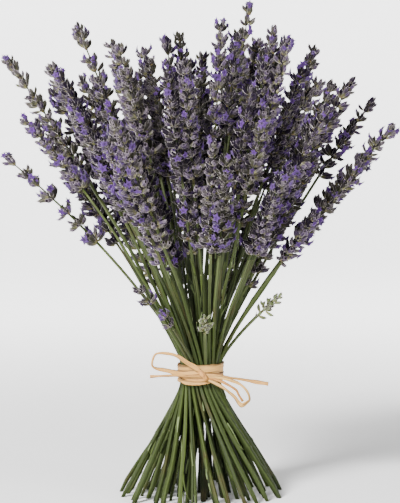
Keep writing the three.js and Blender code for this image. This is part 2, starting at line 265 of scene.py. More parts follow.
def lay_bunch():
    """Every group of sprigs, in the order of the spike nodes. A group after the first ones is drawn until it
    has enough room, or the roomiest of its draws is taken."""
    draw = seeded(DRAW_SEED)
    groups = [[Sprig(*loner, draw)] for loner in LONERS]
    lines = [line_of(sprig) for group in groups for sprig in group]
    for ring, twins, alone, tips in FILL:
        for place, count in [(place, 2) for place in twins] + [(place, 1) for place in alone]:
            best, most = None, -math.inf
            for _ in range(DRAWS):
                if most >= ENOUGH_ROOM:
                    break
                group = draw_group(ring, place, count, tips, draw)
                room = min(least_room(sprig, lines) for sprig in group)
                if room > most:
                    best, most = group, room
            groups.append(best)
            lines += [line_of(sprig) for sprig in best]
    return groups


# ---- Meshes ----

def put_in(name, data):
    """An object of this data, in the scene."""
    made = bpy.data.objects.new(name, data)
    bpy.context.scene.collection.objects.link(made)
    return made


def quads_between(rows, sides):
    """The quads that join neighbouring rings: each one's row, its side and the numbers of its corners."""
    row, side = (grid.ravel() for grid in np.meshgrid(range(rows - 1), range(sides), indexing="ij"))
    after = (side + 1) % sides
    return row, side, np.stack([row * sides + side, row * sides + after,
                                (row + 1) * sides + after, (row + 1) * sides + side], -1)


class Skin:
    """Closed tubes gathered into one piece. Every form here is one: a stem, a calyx, a petal or a strand."""

    def __init__(self):
        self.parts = []
        self.total = 0

    def add(self, rings, traits, finish):
        """Tubes from rings of points, of shape (tubes, rows, sides, 3), that run anticlockwise about the
        tube's way. Quads join neighbouring rings, and one flat face closes each end. traits are three numbers
        for each point. u goes once round the tube and v along it, and v is -1 and 2 on the ends' faces."""
        tubes, rows, sides, _ = rings.shape
        row, side, quads = quads_between(rows, sides)
        u = np.stack([side, side + 1, side + 1, side], -1) / sides
        v = np.stack([row, row, row + 1, row + 1], -1) / (rows - 1)
        ends = np.concatenate([np.arange(sides)[::-1], (rows - 1) * sides + np.arange(sides)])
        corners = np.concatenate([quads.ravel(), ends])
        places = np.concatenate([np.stack([u, v], -1).reshape(-1, 2),
                                 np.repeat([[0.5, -1.0], [0.5, 2.0]], sides, axis=0)])
        counts = np.concatenate([np.full(len(quads), 4), [sides, sides]])
        starts = self.total + np.arange(tubes) * rows * sides
        traits = np.broadcast_to(traits, (tubes, rows, sides, 3))
        self.parts.append((
            rings.reshape(-1, 3),
            (corners + starts[:, None]).ravel(),
            np.tile(counts, tubes),
            np.tile(places, (tubes, 1)),
            traits.reshape(-1, 3),
            np.full(len(counts) * tubes, finish),
        ))
        self.total += tubes * rows * sides

    def piece(self, name, finishes):
        """One object in metres, with its finishes in the order of their numbers."""
        points, corners, counts, places, traits, finish = (np.concatenate(part) for part in zip(*self.parts))
        mesh = bpy.data.meshes.new(name)
        mesh.vertices.add(len(points))
        mesh.vertices.foreach_set("co", ((points + SHIFT) * MM).astype(np.float32).ravel())
        mesh.loops.add(len(corners))
        mesh.loops.foreach_set("vertex_index", corners.astype(np.int32))
        mesh.polygons.add(len(counts))
        starts = np.cumsum(counts) - counts
        mesh.polygons.foreach_set("loop_start", starts.astype(np.int32))
        for finish_made in finishes:
            mesh.materials.append(finish_made)
        mesh.polygons.foreach_set("material_index", finish.astype(np.int32))
        mesh.polygons.foreach_set("use_smooth", counts == 4)
        mesh.update(calc_edges=True)
        mesh.uv_layers.new(name="around").uv.foreach_set("vector", places.astype(np.float32).ravel())
        shades = mesh.attributes.new("traits", "FLOAT_COLOR", "POINT")
        traits = np.pad(traits, ((0, 0), (0, 1)), constant_values=1)
        shades.data.foreach_set("color", traits.astype(np.float32).ravel())
        mesh.validate()
        return put_in(name, mesh)


def around(sides, start=0.0):
    """The angles of so many sides, once round."""
    return start + 2 * math.pi * np.arange(sides) / sides


def upright(x, y, heights):
    """Points of a form from their x and y, at one height for each row."""
    return np.stack(np.broadcast_arrays(x, y, heights[:, None]), -1)


def rings_about(centres, side, front, radii, angles):
    """Rings round centres: the ring's own radius at each angle, from side towards front. centres have the
    shape (..., 3), and radii and angles (..., sides) or (sides,)."""
    turned = angles[..., None]
    across = np.cos(turned) * side[..., None, :] + np.sin(turned) * front[..., None, :]
    return centres[..., None, :] + radii[..., None] * across


def set_out(form, origins, frames, sizes):
    """Copies of a form's rings, of shape (rows, sides, 3): each scaled along its three axes and turned to its
    frame, which has one axis in each row."""
    return origins[:, None, None] + np.einsum("rsk,nk,nkd->nrsd", form, sizes, frames)


# ---- Finishes ----

def tone(code):
    """A colour's linear parts from its #rrggbb code."""
    parts = np.array([int(code[at:at + 2], 16) for at in (1, 3, 5)]) / 255
    linear = np.where(parts <= 0.04045, parts / 12.92, ((parts + 0.055) / 1.055) ** 2.4)
    return (*(float(part) for part in linear), 1.0)


def operator(operation, reflected=False):
    """A wire's method that adds a Math node, with its two sides turned round if it is reflected."""
    def made(wire, other):
        return wire.finish.math(operation, *((other, wire) if reflected else (wire, other)))
    return made


class Wire:
    """A shader socket. Sums, products and the like of wires and numbers add Math nodes."""

    def __init__(self, finish, socket):
        self.finish = finish
        self.socket = socket

    __add__, __radd__ = operator("ADD"), operator("ADD", True)
    __sub__, __rsub__ = operator("SUBTRACT"), operator("SUBTRACT", True)
    __mul__, __rmul__ = operator("MULTIPLY"), operator("MULTIPLY", True)
    __pow__ = operator("POWER")


class Finish:
    """A material in the making."""

    def __init__(self, name, **constants):
        self.material = bpy.data.materials.new(name)
        self.material.use_nodes = True
        self.tree = self.material.node_tree
        self.shader = self.tree.nodes["Principled BSDF"]
        for socket, value in constants.items():
            self.shader.inputs[socket.replace("_", " ")].default_value = value
        traits = self.node("ShaderNodeAttribute", {"attribute_name": "traits"}, {}, "Vector")
        self.traits = self.split(traits)
        self.u, self.v, _ = self.split(self.node("ShaderNodeUVMap", {"uv_map": "around"}, {}, "UV"))
        self.place = self.node("ShaderNodeTexCoord", {}, {}, "Object")

    def node(self, kind, settings, inputs, output):
        """A node of any kind: its settings first, then its sockets' values or links."""
        made = self.tree.nodes.new(kind)
        for name, value in settings.items():
            setattr(made, name, value)
        for name, value in inputs.items():
            if isinstance(value, Wire):
                self.tree.links.new(value.socket, made.inputs[name])
            else:
                made.inputs[name].default_value = value
        return Wire(self, made.outputs[output])

    def math(self, operation, first, second=0.0):
        return self.node("ShaderNodeMath", {"operation": operation}, {0: first, 1: second}, 0)

    def split(self, vector):
        parts = self.node("ShaderNodeSeparateXYZ", {}, {0: vector}, 0).socket.node.outputs
        return [Wire(self, part) for part in parts]

    def vector(self, x, y, z):
        return self.node("ShaderNodeCombineXYZ", {}, {0: x, 1: y, 2: z}, 0)

    def noise(self, scale, detail=2.0, place=None):
        inputs = {"Vector": place or self.place, "Scale": scale, "Detail": detail}
        return self.node("ShaderNodeTexNoise", {}, inputs, 0)

    def wave(self, turns):
        """A sine of turns full turns, between 0 and 1."""
        return self.math("SINE", turns * (2 * math.pi)) * 0.5 + 0.5

    def step(self, value, low, high):
        """0 below low and 1 above high, with a soft rise between."""
        return self.node("ShaderNodeMapRange", {"interpolation_type": "SMOOTHSTEP"},
                         {"Value": value, "From Min": low, "From Max": high}, 0)

    def mix(self, share, one, other, blend="MIX"):
        return self.node("ShaderNodeMix", {"data_type": "RGBA", "blend_type": blend},
                         {0: share, 6: one, 7: other}, 2)

    def shade(self, colour, amount):
        """A colour made darker or lighter by a factor near 1."""
        return self.mix(1.0, colour, self.vector(amount, amount, amount), "MULTIPLY")

    def done(self, colour, roughness, height, relief):
        """Joins up the colour, the roughness and a bump whose full height is relief, in millimetres."""
        inputs = {"Height": height, "Distance": relief * MM, "Strength": 1.0}
        bump = self.node("ShaderNodeBump", {}, inputs, 0)
        for name, wire in (("Base Color", colour), ("Roughness", roughness), ("Normal", bump)):
            self.tree.links.new(wire.socket, self.shader.inputs[name])
        return self.material


def calyx_finish():
    """Downy, with pale veins: an olive foot, sides from lilac-grey to near black, some of them green, and a
    dark throat. The throat is painted shade. The near-black sides and the darker foot are partly painted
    shade, through a tint that is darker on calyces facing into the bunch and on spikes further in."""
    calyx = Finish("downy_calyx", Sheen_Weight=0.8, Sheen_Roughness=0.25, Sheen_Tint=(0.86, 0.77, 0.77, 1),
                   Specular_IOR_Level=0.1)
    tint, along, green = calyx.traits
    down = calyx.noise(1500.0, 3.0)
    veins = calyx.wave(calyx.u * 5 + down * 0.3) ** 1.5
    # The near-black end is partly painted shade: the tint is darker on calyces facing into the bunch and on
    # spikes further in.
    lilac = calyx.mix(tint, tone("#4e4158"), tone("#0f0518"))
    side = calyx.mix(calyx.math("MINIMUM", green, 1.0) * (0.95 - tint * 0.6), lilac, tone("#46492b"))
    side = calyx.mix(calyx.step(green, 1.0, 1.8), side, tone("#66704a"))
    # The olive foot is darkened by that same tint, so partly by painted shade.
    heart = calyx.mix(tint, tone("#8c8a5a"), tone("#2a2718"))
    foot = calyx.mix(calyx.step(along, 0.1, 0.6), heart, side)
    rim = calyx.mix(calyx.step(along, 0.78, 1.0) * (1 - tint) * 0.6, foot, tone("#83777f"))
    # Painted shade: the rows that turn back down into the throat are painted near black.
    throat = calyx.mix(calyx.step(along, 1.0, 1.3), rim, tone("#150d14"))
    colour = calyx.shade(throat, 0.45 + veins * 0.65 + down * 0.4)
    return calyx.done(colour, 0.75 + down * 0.2, veins * 0.7 + down * 0.6, 0.35)


def petal_finish():
    """Violet petals, paler at their edge and greyer where they have dried, and painted darker back down into
    the throat, as shade.
    """
    petal = Finish("violet_petal", Sheen_Weight=0.2, Specular_IOR_Level=0.2)
    tint, along, _ = petal.traits
    crinkle = petal.noise(900.0, 3.0)
    fresh = petal.mix(tint, tone("#3c165c"), tone("#10041c"))
    colour = petal.mix(petal.step(along, 0.55, 1.0) * 0.5, fresh, tone("#613c88"))
    # Painted shade: the rows that turn back into the flower's throat are darker.
    depth = petal.step(along, -0.4, 0.6)
    return petal.done(petal.shade(colour, (0.4 + crinkle) * depth), 0.6 + crinkle * 0.3, crinkle, 0.5)


def bract_finish():
    """Papery bracts, yellow-green at the foot and brown to the tip."""
    bract = Finish("papery_bract")
    tint, along, _ = bract.traits
    veins = bract.wave(bract.u * 12 + bract.noise(300.0) * 0.5)
    green = bract.mix(tint, tone("#6f7338"), tone("#86704a"))
    colour = bract.mix(bract.step(along, 0.5, 1.0), green, tone("#54392a"))
    return bract.done(bract.shade(colour, 0.75 + veins * 0.3), 0.7 + veins * 0.1, veins, 0.2)


def stem_finish():
    """Green stems with a pale ridge at each corner, streaked and here and there browned, with pale cut ends.
    A twig whose third trait is 2 is paler."""
    stem = Finish("square_stem", Specular_IOR_Level=0.2)
    tint, along, brown = stem.traits
    x, y, z = stem.split(stem.place)
    streak = stem.noise(1.0, 3.0, stem.vector(x * 900.0, y * 900.0, z * 60.0))
    patch = stem.noise(45.0, 2.0)
    ridge = stem.wave(stem.u * 4 + 0.25) ** 3
    # The tint darkens the green. On stems and spike axes further in, it is partly painted shade.
    green = stem.mix(tint, tone("#3d4a1b"), tone("#182008"))
    pale = stem.mix(stem.step(along, 0.6, 1.0) * 0.4, green, tone("#565d3c"))
    dried = stem.step(patch + stem.math("MINIMUM", brown, 0.5) * 0.25, 0.58, 0.8) * 0.6
    aged = stem.mix(dried, pale, tone("#41371c"))
    fresh = stem.mix(stem.step(brown, 1.2, 1.8), aged, tone("#66744a"))
    side = stem.shade(fresh, 0.42 + streak * 0.55 + ridge * 0.55)
    cut = stem.math("GREATER_THAN", stem.math("ABSOLUTE", stem.v - 0.5), 1.0)
    colour = stem.mix(cut, side, tone("#958f68"))
    return stem.done(colour, 0.5 + streak * 0.3, streak + ridge * 0.5, 0.25)


def raffia_finish():
    """Straw with fibres along the strand, which part into paler and browner streaks. Both edges of a strand
    are painted darker, as shade where strands meet.
    """
    raffia = Finish("split_raffia", Specular_IOR_Level=0.4)
    tint = raffia.traits[0]
    fibre = raffia.noise(1.0, 3.0, raffia.vector(raffia.u * 15.0, raffia.v * 5.0, tint * 40.0))
    fine = raffia.noise(1.0, 2.0, raffia.vector(raffia.u * 60.0, raffia.v * 12.0, tint * 70.0))
    # Painted shade: both edges of a strand are darkened.
    edge = raffia.wave(raffia.u * 2 + 0.25) ** 5
    straw = raffia.mix(tint, tone("#cda158"), tone("#b27a36"))
    streaked = raffia.mix(raffia.step(fibre, 0.5, 0.66) * 0.75, straw, tone("#74471c"))
    colour = raffia.shade(streaked, (0.6 + fine * 0.6) * (1 - edge * 0.7))
    return raffia.done(colour, 0.45 + fibre * 0.3, fibre + fine * 0.6, 0.3)


# ---- Spikes ----

CALYX_LONG = 8.2
CALYX_R = 1.6
CALYX_SIDES = 7
# A calyx from its foot over its rim and down into its throat: height, as a share of its length, radius, as a
# share of its greatest, and how far along it is for its finish, which paints the throat near black as shade.
CALYX = [(0, 0.36, 0), (0.22, 0.76, 0.22), (0.58, 1, 0.58),
         (0.86, 0.92, 0.86), (1, 0.64, 1), (0.82, 0.36, 1.5)]
CALYX_BOW = 1.1  # how far its mouth bends up towards the spike's tip
CALYX_LIP = 0.09  # how much higher its rim is on that side, as a share of its length
# A flower from inside the calyx, over its lip and back into its throat: height above the calyx's foot,
# radius, how deep its lobes are cut, as a share of that radius, and how far along it is.
FLOWER = [(6.6, 0.7, 0, 0), (8.2, 1.3, 0.1, 0.5), (9.8, 2.2, 0.38, 1),
          (9.4, 1.3, 0.4, 0.75), (8.8, 0.3, 0, 0.3)]
FLOWER_SIDES = 10
LOBES = 5
LIP_RISE = 1.3  # how much further up the upper lip stands
# A bract: height, half its width, and how far it cups outwards.
BRACT = [(0, 0.7, 0), (1.5, 1.9, 0.7), (3.2, 1.7, 0.5), (4.8, 0.15, 0)]
BRACT_SIDES = 6
BRACT_THICK = 0.16
SHADE_CORE = [(-1.5, 0.9), (0, 1.7), (1.8, 2.2), (3.6, 1.8), (5.4, 0.6)]  # painted shade in a whorl's middle, a near-black drop: height and radius
SHADE_CORE_SIDES = 7
SHADE_CORE_TINT = 0.95
SHADE_CORE_ALONG = 0.6  # it has a calyx's colour from this far along

OF_CALYX, OF_PETAL, OF_BRACT, OF_STEM = range(4)  # a spike's finishes by their numbers

WHORL_STEP = 9.4  # between whorls, on average
WHORL_STRAY = 0.25  # how far one stands off its even place, in steps
FIRST_WHORL = 0.6  # how far above the spike's foot the lowest one is, in steps
CLOSING = 0.9  # power of the whorl's number that its height goes by
TOP_GAP = 7  # from the uppermost whorl up to the spike's tip
APART = [0, 1, 2]  # how many whorls stand apart below a spike
APART_STEP = 1.5  # between those, in steps
APART_DEPTH = 2  # how many rings in from the outer one they still are
HANGING_DEPTH = 1  # how many rings in there is one more for a tip at the back or on the left
BACK_Y = 30  # where the back begins
LEFT_X = (-105, -10)  # and one more again for a tip in this range

CROWD = 13  # calyces in the lowest whorl
CROWD_LESS = 4.5  # how many fewer the uppermost has
CROWD_BELOW = (16, 30)  # how fast they thin out below the spike, on the left and elsewhere
CROWD_STRAY = 2.5
LEAST_CROWD = 4
GATHERED = 0.35  # how far calyces crowd to two sides of the whorl, in radians
TURN_STRAY = 0.35
OPEN = (62, 28)  # a calyx's lean from the spike in degrees, and how much less it is at the tip
OPEN_STRAY = 17
OPEN_ENDS = (8, 95)  # its least and most
HEIGHT_STRAY = 1.6
OUT_STRAY = 1.7  # how far out it stands on its stalk
IN_STALK = 0.8  # where its foot is, as a share of the axis's radius
CALYX_SIZE = (1.12, 0.26)  # its size in the lowest whorl, and how much less it is at the tip
WHORL_GROWN = (0.84, 1.1)  # range of the size of a whorl's calyces
CALYX_GROWN = (0.78, 1.12)  # and of one calyx
CALYX_STOUT = (0.85, 1.15)  # and of its width
SLIM_SMALL = 0.28  # how much of its size goes by how slender the spike is
SLIM_FEW = 0.5  # and how much of the number of calyces

HUE_SPREAD = 0.7  # both shapes of the beta spread of a spike's tint, from pale at 0 to dark at 1
DEPTH_SHADE = 0.05  # painted shade deep in the bunch: darker with each ring in
TINT_MIDDLE = 0.18
FACING_SHADE = 0.5  # painted shade: how much paler the side is that faces out of the bunch, and darker the side that faces in
TINT_STRAY = 0.25
LEAFY = (0, 0.75)  # range of how green a usual spike's calyces are
LEAFY_STRAY = 0.3
BLOOM = (0.1, 0.4)  # range of the share of them in flower
BLOOM_SWING = [0.15, 0.6, 1.5]  # one of which multiplies it in each whorl
MOST_BLOOM = 0.9
FLARE = (0.6, 1.5)  # range of a flower's width
PLUMP = (0.8, 1.2)  # range of the size of a whorl's drop of painted shade

BRACT_OPEN = 58  # its lean from the spike in degrees
BRACT_BELOW = 0.8  # its foot below the whorl
BRACT_OUT = 0.6
BRACT_LESS = 0.4  # how much smaller it is at the tip
BRACT_GROWN = (0.8, 1.1)

STALK_R = (1.0, 0.45)  # the spike's axis at its foot and at its tip
STALK_ENDS = (2.5, 3)  # how far it starts below the spike's foot and ends below the tip
STALK_SIDES = 8
STALK_RIDGE = 0.1
STALK_ROWS = 3  # for each whorl


def calyx_form():
    """A turned cup that is bowed to its x axis by the square of the height, with a lip raised on that side by
    the cosine of the angle."""
    height, radius, along = np.array(CALYX).T
    angles = around(CALYX_SIDES)
    lipped = height[:, None] + CALYX_LIP * (height[:, None] == 1) * np.cos(angles)
    x = radius[:, None] * CALYX_R * np.cos(angles) + CALYX_BOW * height[:, None] ** 2
    y = radius[:, None] * CALYX_R * np.sin(angles)
    return np.stack([x, y, lipped * CALYX_LONG], -1), along


def flower_form():
    """A funnel whose radius swings once for each lobe round it, with its upper side drawn out along the
    height."""
    height, radius, lobes, along = np.array(FLOWER).T
    angles = around(FLOWER_SIDES)
    lobed = radius[:, None] * (1 + lobes[:, None] * np.cos(LOBES * angles))
    lifted = height[:, None] + LIP_RISE * lobed / radius.max() * np.cos(angles)
    x = lobed * np.cos(angles) + CALYX_BOW * (height[:, None] / CALYX_LONG) ** 2
    return np.stack([x, lobed * np.sin(angles), lifted], -1), along


def bract_form():
    """A thin blade whose section is a flat ellipse, bent out by its cup."""
    height, half, cup = np.array(BRACT).T
    angles = around(BRACT_SIDES)
    x = -cup[:, None] + BRACT_THICK * np.cos(angles)
    y = half[:, None] * np.sin(angles)
    return upright(x, y, height), height / height[-1]


def shade_core_form():
    """Painted shade in the middle of a whorl: a near-black turned drop."""
    height, radius = np.array(SHADE_CORE).T
    angles = around(SHADE_CORE_SIDES)
    x, y = radius[:, None] * np.cos(angles), radius[:, None] * np.sin(angles)
    return upright(x, y, height), np.full(len(height), SHADE_CORE_ALONG)


CALYX_FORM, FLOWER_FORM, BRACT_FORM, SHADE_CORE_FORM = calyx_form(), flower_form(), bract_form(), shade_core_form()


def add_copies(skin, shape, origins, frames, sizes, tints, third, finish):
    """Copies of a form, whose sizes are three numbers or one for each copy."""
    form, along = shape
    sizes = np.broadcast_to(sizes.T, (3, len(origins))).T
    skin.add(set_out(form, origins, frames, sizes), traits_of(tints, along, third), finish)


def traits_of(tints, along, third):
    """Traits of copies of a form: a tint and a third number of each, and how far along the form a row is."""
    return np.stack(np.broadcast_arrays(tints[:, None], along, third[:, None]), -1)[:, :, None]


def outward_frames(sprig, heights, turns, opens):
    """For things that stand on a sprig: where they start on its centre line, the way out there, and their
    axes. The last axis leans out from the spike by the open angle, and the first one points back up it."""
    side, front, along = sprig.axes(heights)
    out = np.cos(turns)[:, None] * side + np.sin(turns)[:, None] * front
    way = np.cos(opens)[:, None] * along + np.sin(opens)[:, None] * out
    back = np.sin(opens)[:, None] * along - np.cos(opens)[:, None] * out
    frames = np.stack([back, np.cross(way, back), way], 1)
    return sprig.centre(heights), out, frames


def whorls_apart(sprig, rng):
    """How many whorls stand apart below a spike: none on one that stands alone or far in."""
    if sprig.lone or sprig.depth > APART_DEPTH:
        return 0
    x, y, _ = sprig.tip
    hanging = int(y > BACK_Y or x < 0) + int(LEFT_X[0] < x < LEFT_X[1])
    return rng.choice(APART) + (hanging if sprig.depth <= HANGING_DEPTH else 0)


def whorl_heights(sprig, count, apart, rng):
    """Each whorl's share of the spike's height, and its height. The share is a power below 1 of the whorl's
    number, and it comes to less than 1 at the top. Whorls that stand apart have shares below 0."""
    number = np.arange(-apart, count) * 1.0
    number = np.where(number < 0, APART_STEP * number, number)
    number = number + rng.uniform(-WHORL_STRAY, WHORL_STRAY, count + apart)
    share = np.clip((number + FIRST_WHORL) / (count - 1 + FIRST_WHORL), -1, 1)
    share = np.where(share > 0, np.abs(share) ** CLOSING, share) * (1 - TOP_GAP / sprig.spike)
    return share, sprig.base + share * (sprig.tip[2] - sprig.base)


def calyx_turns(sprig, share, full, rng):
    """Each calyx's whorl and its turn round the spike. Calyces stand evenly round their whorl but for a sine
    twice round it, and each whorl is turned a quarter on from the one below."""
    crowd = CROWD - CROWD_LESS * np.maximum(share, 0)
    crowd = crowd + (CROWD_BELOW[0] if sprig.tip[0] < LEFT_X[1] else CROWD_BELOW[1]) * np.minimum(share, 0)
    crowd = full * crowd * (1 - SLIM_FEW + SLIM_FEW * sprig.slender)
    crowd = crowd + rng.uniform(-CROWD_STRAY, CROWD_STRAY, len(share))
    calyces = np.maximum(LEAST_CROWD, np.round(crowd)).astype(int)
    whorl = np.repeat(np.arange(len(share)), calyces)
    order = np.concatenate([np.arange(many) / many for many in calyces])
    fans = 2 * math.pi * order - GATHERED * np.sin(4 * math.pi * order)
    return whorl, fans + whorl * math.pi / 2 + sprig.turned + rng.uniform(-TURN_STRAY, TURN_STRAY, len(whorl))


def add_calyces(skin, sprig, share, heights, habit, tone_and_depth_shade, rng):
    """The calyces of a spike, and the flowers out of some of them."""
    _, full, leafy, bloom, large = habit
    count = len(share)
    whorl, turns = calyx_turns(sprig, share, full, rng)
    total = len(whorl)
    share = share[whorl]
    opens = OPEN[0] - OPEN[1] * share ** 2 + rng.normal(0, OPEN_STRAY, total)
    opens = np.radians(np.clip(opens, *OPEN_ENDS))
    at = heights[whorl] + rng.uniform(-HEIGHT_STRAY, HEIGHT_STRAY, total)
    grown = rng.uniform(*WHORL_GROWN, count)[whorl]
    size = grown * (CALYX_SIZE[0] - CALYX_SIZE[1] * np.abs(share)) * rng.uniform(*CALYX_GROWN, total)
    size = size * (1 - SLIM_SMALL + SLIM_SMALL * sprig.slender) * large
    centres, out, frames = outward_frames(sprig, at, turns, opens)
    stalk = STALK_R[0] + (STALK_R[1] - STALK_R[0]) * share
    stands = stalk * IN_STALK + rng.uniform(0, OUT_STRAY, total) * np.sin(opens)
    origins = centres + out * stands[:, None]

    # Painted shade: a calyx that faces into the bunch gets a darker tint.
    facing = (out[:, :2] * unit(centres[:, :2])).sum(-1)
    tints = tone_and_depth_shade + TINT_MIDDLE - FACING_SHADE * facing + rng.normal(0, TINT_STRAY, total)
    tints = np.clip(tints, 0, 1)
    greens = np.clip(leafy + rng.normal(0, LEAFY_STRAY, total), 0, max(1, leafy))
    stout = size * rng.uniform(*CALYX_STOUT, total)
    add_copies(skin, CALYX_FORM, origins, frames, np.stack([stout, stout, size], -1), tints, greens, OF_CALYX)

    blooming = np.clip(bloom * rng.choice(BLOOM_SWING, count), 0, MOST_BLOOM)[whorl]
    in_flower = rng.uniform(0, 1, total) < blooming
    flares = size * rng.uniform(*FLARE, (2, total))
    sizes = np.stack([*flares, size], -1)[in_flower]
    faded = rng.uniform(0, 1, total)[in_flower]
    add_copies(skin, FLOWER_FORM, origins[in_flower], frames[in_flower], sizes, faded, greens[in_flower],
               OF_PETAL)


def add_bracts(skin, sprig, share, heights, rng):
    """Two bracts under each whorl, on opposite sides."""
    count = len(share)
    pairs = np.repeat(np.arange(count), 2)
    turns = pairs * math.pi / 2 + np.tile([0, math.pi], count) + sprig.turned
    opens = np.radians(np.full(2 * count, BRACT_OPEN))
    centres, out, frames = outward_frames(sprig, heights[pairs] - BRACT_BELOW, turns, opens)
    grown = np.repeat((1 - BRACT_LESS * share) * sprig.slender, 2) * rng.uniform(*BRACT_GROWN, 2 * count)
    dried = rng.uniform(0, 1, 2 * count)
    add_copies(skin, BRACT_FORM, centres + out * BRACT_OUT, frames, grown, dried, grown, OF_BRACT)


def add_stalk(skin, sprig, rows, tone_and_depth_shade):
    """The spike's axis: a tapered tube with four low ridges."""
    heights = np.linspace(sprig.base - STALK_ENDS[0], sprig.tip[2] - STALK_ENDS[1], rows)
    side, front, _ = sprig.axes(heights)
    radius = np.linspace(*STALK_R, rows)[:, None] * (1 + STALK_RIDGE * np.cos(4 * around(STALK_SIDES)))
    rings = rings_about(sprig.centre(heights), side, front, radius, around(STALK_SIDES, sprig.turned))
    skin.add(rings[None], (tone_and_depth_shade, 0.5, 0.5), OF_STEM)


def add_spike(skin, sprig, rng):
    """One spike: whorls of calyces and flowers, each round a near-black drop of painted shade and over two
    bracts, on an axis.
    """
    usual = (WHORL_STEP, 1, rng.uniform(*LEAFY), rng.uniform(*BLOOM), 1)
    habit = sprig.habit or usual
    step, _, leafy, _, large = habit
    count = max(2, round(sprig.spike / step) + 1)
    share, heights = whorl_heights(sprig, count, whorls_apart(sprig, rng), rng)
    count = len(share)
    # The spike's random tone, with painted shade that darkens it with each ring in.
    tone_and_depth_shade = rng.beta(HUE_SPREAD, HUE_SPREAD) + DEPTH_SHADE * sprig.depth
    add_calyces(skin, sprig, share, heights, habit, tone_and_depth_shade, rng)

    centres, _, frames = outward_frames(sprig, heights, np.zeros(count), np.zeros(count))
    plump = large * sprig.slender * rng.uniform(*PLUMP, count)
    # Painted shade: a near-black drop in the whorl's middle stands for the shade in the gaps between its
    # calyces.
    dark, green = np.full(count, SHADE_CORE_TINT), np.full(count, leafy)
    add_copies(skin, SHADE_CORE_FORM, centres, frames, plump, dark, green, OF_CALYX)

    add_bracts(skin, sprig, share, heights, rng)
    add_stalk(skin, sprig, STALK_ROWS * count, tone_and_depth_shade)


# ---- Stems ----

# Height, and a stem's width across the flats.
STEM_WIDE = [(-TIE_UP, 3.0), (-20, 2.6), (0, 2.2), (40, 2.3), (100, 2.1), (200, 1.8)]
STEM_ROWS = 26
STEM_SIDES = 12
STEM_CORNER = (1.1, 0.12)  # its mean radius and how far its corners pass it, as shares of half its width
STEM_GROWN = (0.85, 1.15)  # range of its width
FOOT_GROWN = 0.3  # how much thicker or thinner its foot may be than that
FOOT_DEEP = 40  # how far below the tie it is so
STEM_TURN = 0.6  # how far it twists in 100 mm, in radians
JOINTS = [(-80, -30), (25, 90)]  # ranges of its joints' heights
JOINT_LONG = 1.8
JOINT_SWELL = 0.28
JOINT_ROW = 2.2  # a joint has rings of its own, this far above and below it
JOINT_CLEAR = 3  # below the spike's foot
STEM_DRIFT = (0.8, 0.5)  # how far it wanders from its even line by a slow sine and by a quick one
STEM_WAVES = ((31, 13), (27, 15))  # heights over which those turn by a radian, to the side and to the front
STILL = (70, 40)  # how far from the tie and from the spike it wanders fully
STEM_STRAY = 4  # how far its foot may stand from its even line
STEM_TINT_AND_DEPTH_SHADE = (0.75, 0.2)  # most of its tint that is drawn, and how much darker it is painted with each ring in, as shade deep in the bunch
BROWNED = 0.5  # most of the third trait that is drawn, up or down


def add_stem(skin, sprig, rng):
    """A square tube with rounded corners along the sprig's line. It wanders by two sines that fade at the tie
    and at the spike, strays by the square of its depth below the tie, and swells at its joints."""
    low, high = -TIE_UP, sprig.base
    joints = np.array([rng.uniform(*span) for span in JOINTS])
    near_joints = (joints[:, None] + np.array([-JOINT_ROW, 0, JOINT_ROW])).ravel()
    near_joints = near_joints[near_joints < high - JOINT_CLEAR]
    heights = np.sort(np.concatenate([np.linspace(low, high, STEM_ROWS), near_joints]))
    side, front, _ = sprig.axes(heights)
    fade = np.clip(np.abs(heights) / STILL[0], 0, 1) * np.clip((high - heights) / STILL[1], 0, 1)
    phases = rng.uniform(0, 2 * math.pi, 4).reshape(2, 2)
    sway, swing = (sum(drift * fade * np.sin(heights / wave + phase)
                       for drift, wave, phase in zip(STEM_DRIFT, waves, pair))
                   for waves, pair in zip(STEM_WAVES, phases))
    stray = rng.uniform(-STEM_STRAY, STEM_STRAY, 2) * (np.clip(-heights / TIE_UP, 0, 1) ** 2)[:, None]
    aside, forward = (sway + stray[:, 0])[:, None], (swing + stray[:, 1])[:, None]
    centres = sprig.centre(heights) + side * aside + front * forward
    swell = 1 + JOINT_SWELL * np.exp(-((heights[:, None] - joints) / JOINT_LONG) ** 2).sum(1)
    uneven = rng.uniform(*STEM_GROWN)
    uneven = uneven + rng.uniform(-FOOT_GROWN, FOOT_GROWN) * np.clip(-heights / FOOT_DEEP, 0, 1)
    wide = np.interp(heights, *np.array(STEM_WIDE).T) * uneven * swell
    square = STEM_CORNER[0] + STEM_CORNER[1] * np.cos(4 * around(STEM_SIDES))
    turn = sprig.turned + rng.uniform(-STEM_TURN, STEM_TURN) * heights / 100
    rings = rings_about(centres, side, front, wide[:, None] / 2 * square, turn[:, None] + around(STEM_SIDES))
    rings[0, :, 2] = low
    along = np.linspace(0, 1, len(heights))[None, :, None]
    # A random tint, darker with each ring in as painted shade.
    tint = min(1, rng.uniform(0, STEM_TINT_AND_DEPTH_SHADE[0]) + STEM_TINT_AND_DEPTH_SHADE[1] * sprig.depth)
    traits = np.stack(np.broadcast_arrays(tint, along, rng.uniform(-BROWNED, BROWNED)), -1)
    skin.add(rings[None], traits, 0)


SHOOT_SIDES = 6
SHOOT_ROWS = 6
SHOOT_OUT = 1.5  # from the stem's middle to where one starts
SHOOT_ROUND = 0.8  # how far round the stem they stand from its outer side, in radians
